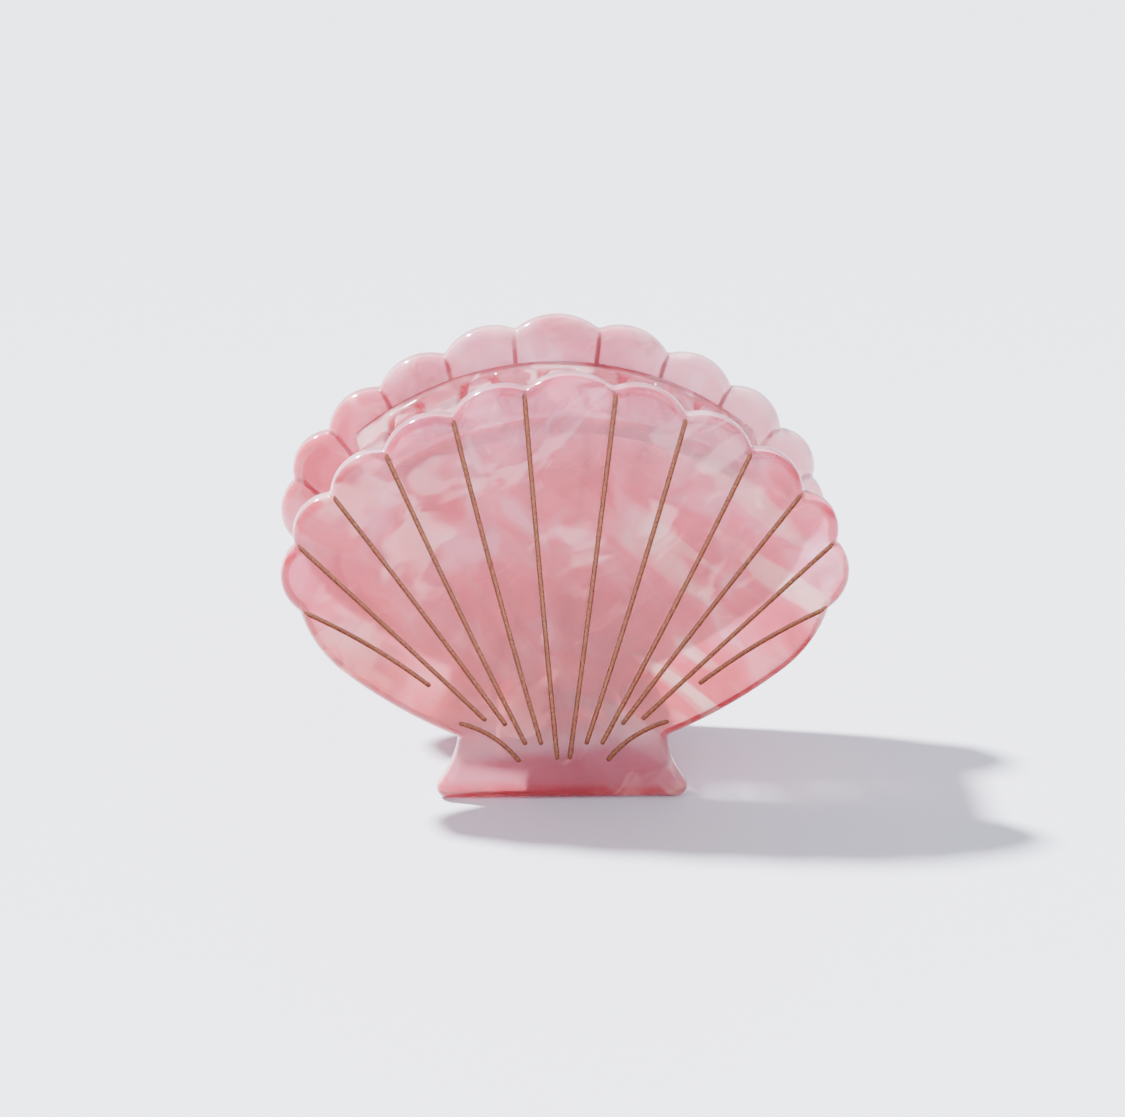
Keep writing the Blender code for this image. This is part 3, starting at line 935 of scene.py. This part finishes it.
CAMERA_PLACE = Vector((-0.04057, -0.57357, 0.24931))
CAMERA_PITCH = math.radians(20.5)
CAMERA_YAW = math.radians(4.093)
CAMERA_ROLL = math.radians(1.044)
CAMERA_LENS = 123.8
CAMERA_SENSOR = 36
CAMERA_RANGE = (0.01, 20)
KEY_DIRECTION = Vector((-0.69, 0.38, 1.0)).normalized()
KEY_STRENGTH = 16.2
KEY_ANGLE = math.radians(5.3)
KEY_COLOR = (1.0, 0.98, 0.95)
FILL_DIRECTION = Vector((0.5, -0.8, 0.7)).normalized()
FILL_POWER = 5
FILL_SIZE = 1.2
FILL_COLOR = (0.95, 0.97, 1.0)
LIGHT_TARGET = Vector((0, 0, 0.03))
LIGHT_DISTANCE = 1.6
WORLD_STRENGTH = 1.0
WALL_STRENGTH = 4.2
FLOOR_HALF_SIZE = 15.0


def add_camera():
    data = bpy.data.cameras.new("camera")
    data.sensor_width = CAMERA_SENSOR
    data.sensor_fit = "HORIZONTAL"
    data.lens = CAMERA_LENS
    data.clip_start, data.clip_end = CAMERA_RANGE
    camera = bpy.data.objects.new("camera", data)
    bpy.context.scene.collection.objects.link(camera)
    forward = Vector(
        (
            math.sin(CAMERA_YAW) * math.cos(CAMERA_PITCH),
            math.cos(CAMERA_YAW) * math.cos(CAMERA_PITCH),
            -math.sin(CAMERA_PITCH),
        )
    )
    level = Vector((math.cos(CAMERA_YAW), -math.sin(CAMERA_YAW), 0))
    up = level.cross(forward)
    right = math.cos(CAMERA_ROLL) * level + math.sin(CAMERA_ROLL) * up
    above = -math.sin(CAMERA_ROLL) * level + math.cos(CAMERA_ROLL) * up
    turn = Matrix((right, above, -forward)).transposed().to_4x4()
    camera.matrix_world = Matrix.Translation(CAMERA_PLACE) @ turn
    bpy.context.scene.camera = camera


def add_light(name, kind, direction, energy, color):
    data = bpy.data.lights.new(name, kind)
    data.energy = energy
    data.color = color
    light = bpy.data.objects.new(name, data)
    bpy.context.scene.collection.objects.link(light)
    light.location = LIGHT_TARGET + direction * LIGHT_DISTANCE
    light.rotation_euler = direction.to_track_quat("Z", "Y").to_euler()
    return data


def add_world():
    """An even studio light. The far wall, seen by the camera alone, is about as bright as the floor."""
    world = bpy.data.worlds.new("soft_world")
    world.use_nodes = True
    tree = world.node_tree
    lit = tree.nodes["Background"]
    lit.inputs["Color"].default_value = linear(*WORLD_COLOR)
    lit.inputs["Strength"].default_value = WORLD_STRENGTH
    wall = tree.nodes.new("ShaderNodeBackground")
    wall.inputs["Color"].default_value = linear(*WORLD_COLOR)
    wall.inputs["Strength"].default_value = WALL_STRENGTH
    path = tree.nodes.new("ShaderNodeLightPath")
    mix = tree.nodes.new("ShaderNodeMixShader")
    tree.links.new(path.outputs["Is Camera Ray"], mix.inputs[0])
    tree.links.new(lit.outputs[0], mix.inputs[1])
    tree.links.new(wall.outputs[0], mix.inputs[2])
    tree.links.new(mix.outputs[0], tree.nodes["World Output"].inputs["Surface"])
    bpy.context.scene.world = world


def add_stage():
    shape = bmesh.new()
    bmesh.ops.create_grid(shape, x_segments=2, y_segments=2, size=FLOOR_HALF_SIZE)
    floor = add_object("pale_floor", to_mesh(shape, "pale_floor"), floor_material())
    add_world()
    key = add_light("key", "SUN", KEY_DIRECTION, KEY_STRENGTH, KEY_COLOR)
    key.angle = KEY_ANGLE
    fill = add_light("fill", "AREA", FILL_DIRECTION, FILL_POWER, FILL_COLOR)
    fill.shape = "DISK"
    fill.size = FILL_SIZE


# The clip.

add_camera()
add_stage()

FRONT_SWIRLS = (0.02, 0.11, 0.05)
REAR_SWIRLS = (0.37, 0.02, 0.23)
COMB_SWIRLS = (0.61, 0.33, 0.47)
HINGE_SWIRLS = (0.83, 0.51, 0.09)

paint = bronze_paint()
steel = drawn_steel()
front_acetate = acetate(
    "front_acetate", FRONT_SWIRLS, clear=0.72, warmth=0.06, clear_top_and_sky_reflection=0.45, stripe_light=0.5, depth=0.62
)
# A paler copy of the front acetate for the rim: a painted sheen on the rounded edge.
front_rim_sheen = acetate("front_rim_sheen", FRONT_SWIRLS, clear=0.5, paleness=0.34, clear_top_and_sky_reflection=0.3, painted_shade_amount=0.1)
rear_acetate = acetate(
    "rear_acetate", REAR_SWIRLS, clear=0.5, warmth=0.2, paleness=0.1, clear_top_and_sky_reflection=0.2, right_pale=0.5
)
# A paler copy of the rear acetate for the rim: a painted sheen on the rounded edge.
rear_rim_sheen = acetate(
    "rear_rim_sheen", REAR_SWIRLS, clear=0.4, warmth=0.2, paleness=0.35, clear_top_and_sky_reflection=0.2, right_pale=0.5
)
comb_acetate = acetate("comb_acetate", COMB_SWIRLS, clear=0.8, paleness=0.34)
hinge_acetate = acetate(
    "hinge_acetate", HINGE_SWIRLS, clear=0.6, warmth=0.1, paleness=0.25, painted_shade_amount=0.4
)

front_plate = shell_piece("front_shell_plate", front_acetate, front_rim_sheen, paint)
front_plate.data.transform(Matrix.Translation((0, -PLATE_Y, 0)))
rear_plate = shell_piece("rear_shell_plate", rear_acetate, rear_rim_sheen, paint)
rear_plate.data.transform(Matrix.Rotation(math.pi, 4, "Z") @ Matrix.Translation((0, -PLATE_Y, 0)))

front_teeth = comb_piece("front_comb_strip", FRONT_TEETH, comb_acetate)
rear_teeth = comb_piece("rear_comb_strip", REAR_TEETH, comb_acetate)
rear_teeth.data.transform(Matrix.Rotation(math.pi, 4, "Z"))

front_bracket = front_arch_piece(hinge_acetate)
rear_bracket = rear_arch_piece(hinge_acetate)
pin = pin_piece(steel)
spring = spring_piece(steel)

for piece, node, body, slot in (
    (front_plate, "front_shell", "front_jaw", "pink_acetate"),
    (rear_plate, "rear_shell", "rear_jaw", "pink_acetate"),
    (front_teeth, "front_comb", "front_jaw", "pale_acetate"),
    (rear_teeth, "rear_comb", "rear_jaw", "pale_acetate"),
    (front_bracket, "front_hinge_arch", "front_jaw", "pale_acetate"),
    (rear_bracket, "rear_hinge_arch", "rear_jaw", "pale_acetate"),
    (pin, "hinge_pin", "front_jaw", "spring_steel"),
):
    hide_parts(node)
    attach(piece, body)

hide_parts("torsion_spring")
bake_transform(spring)
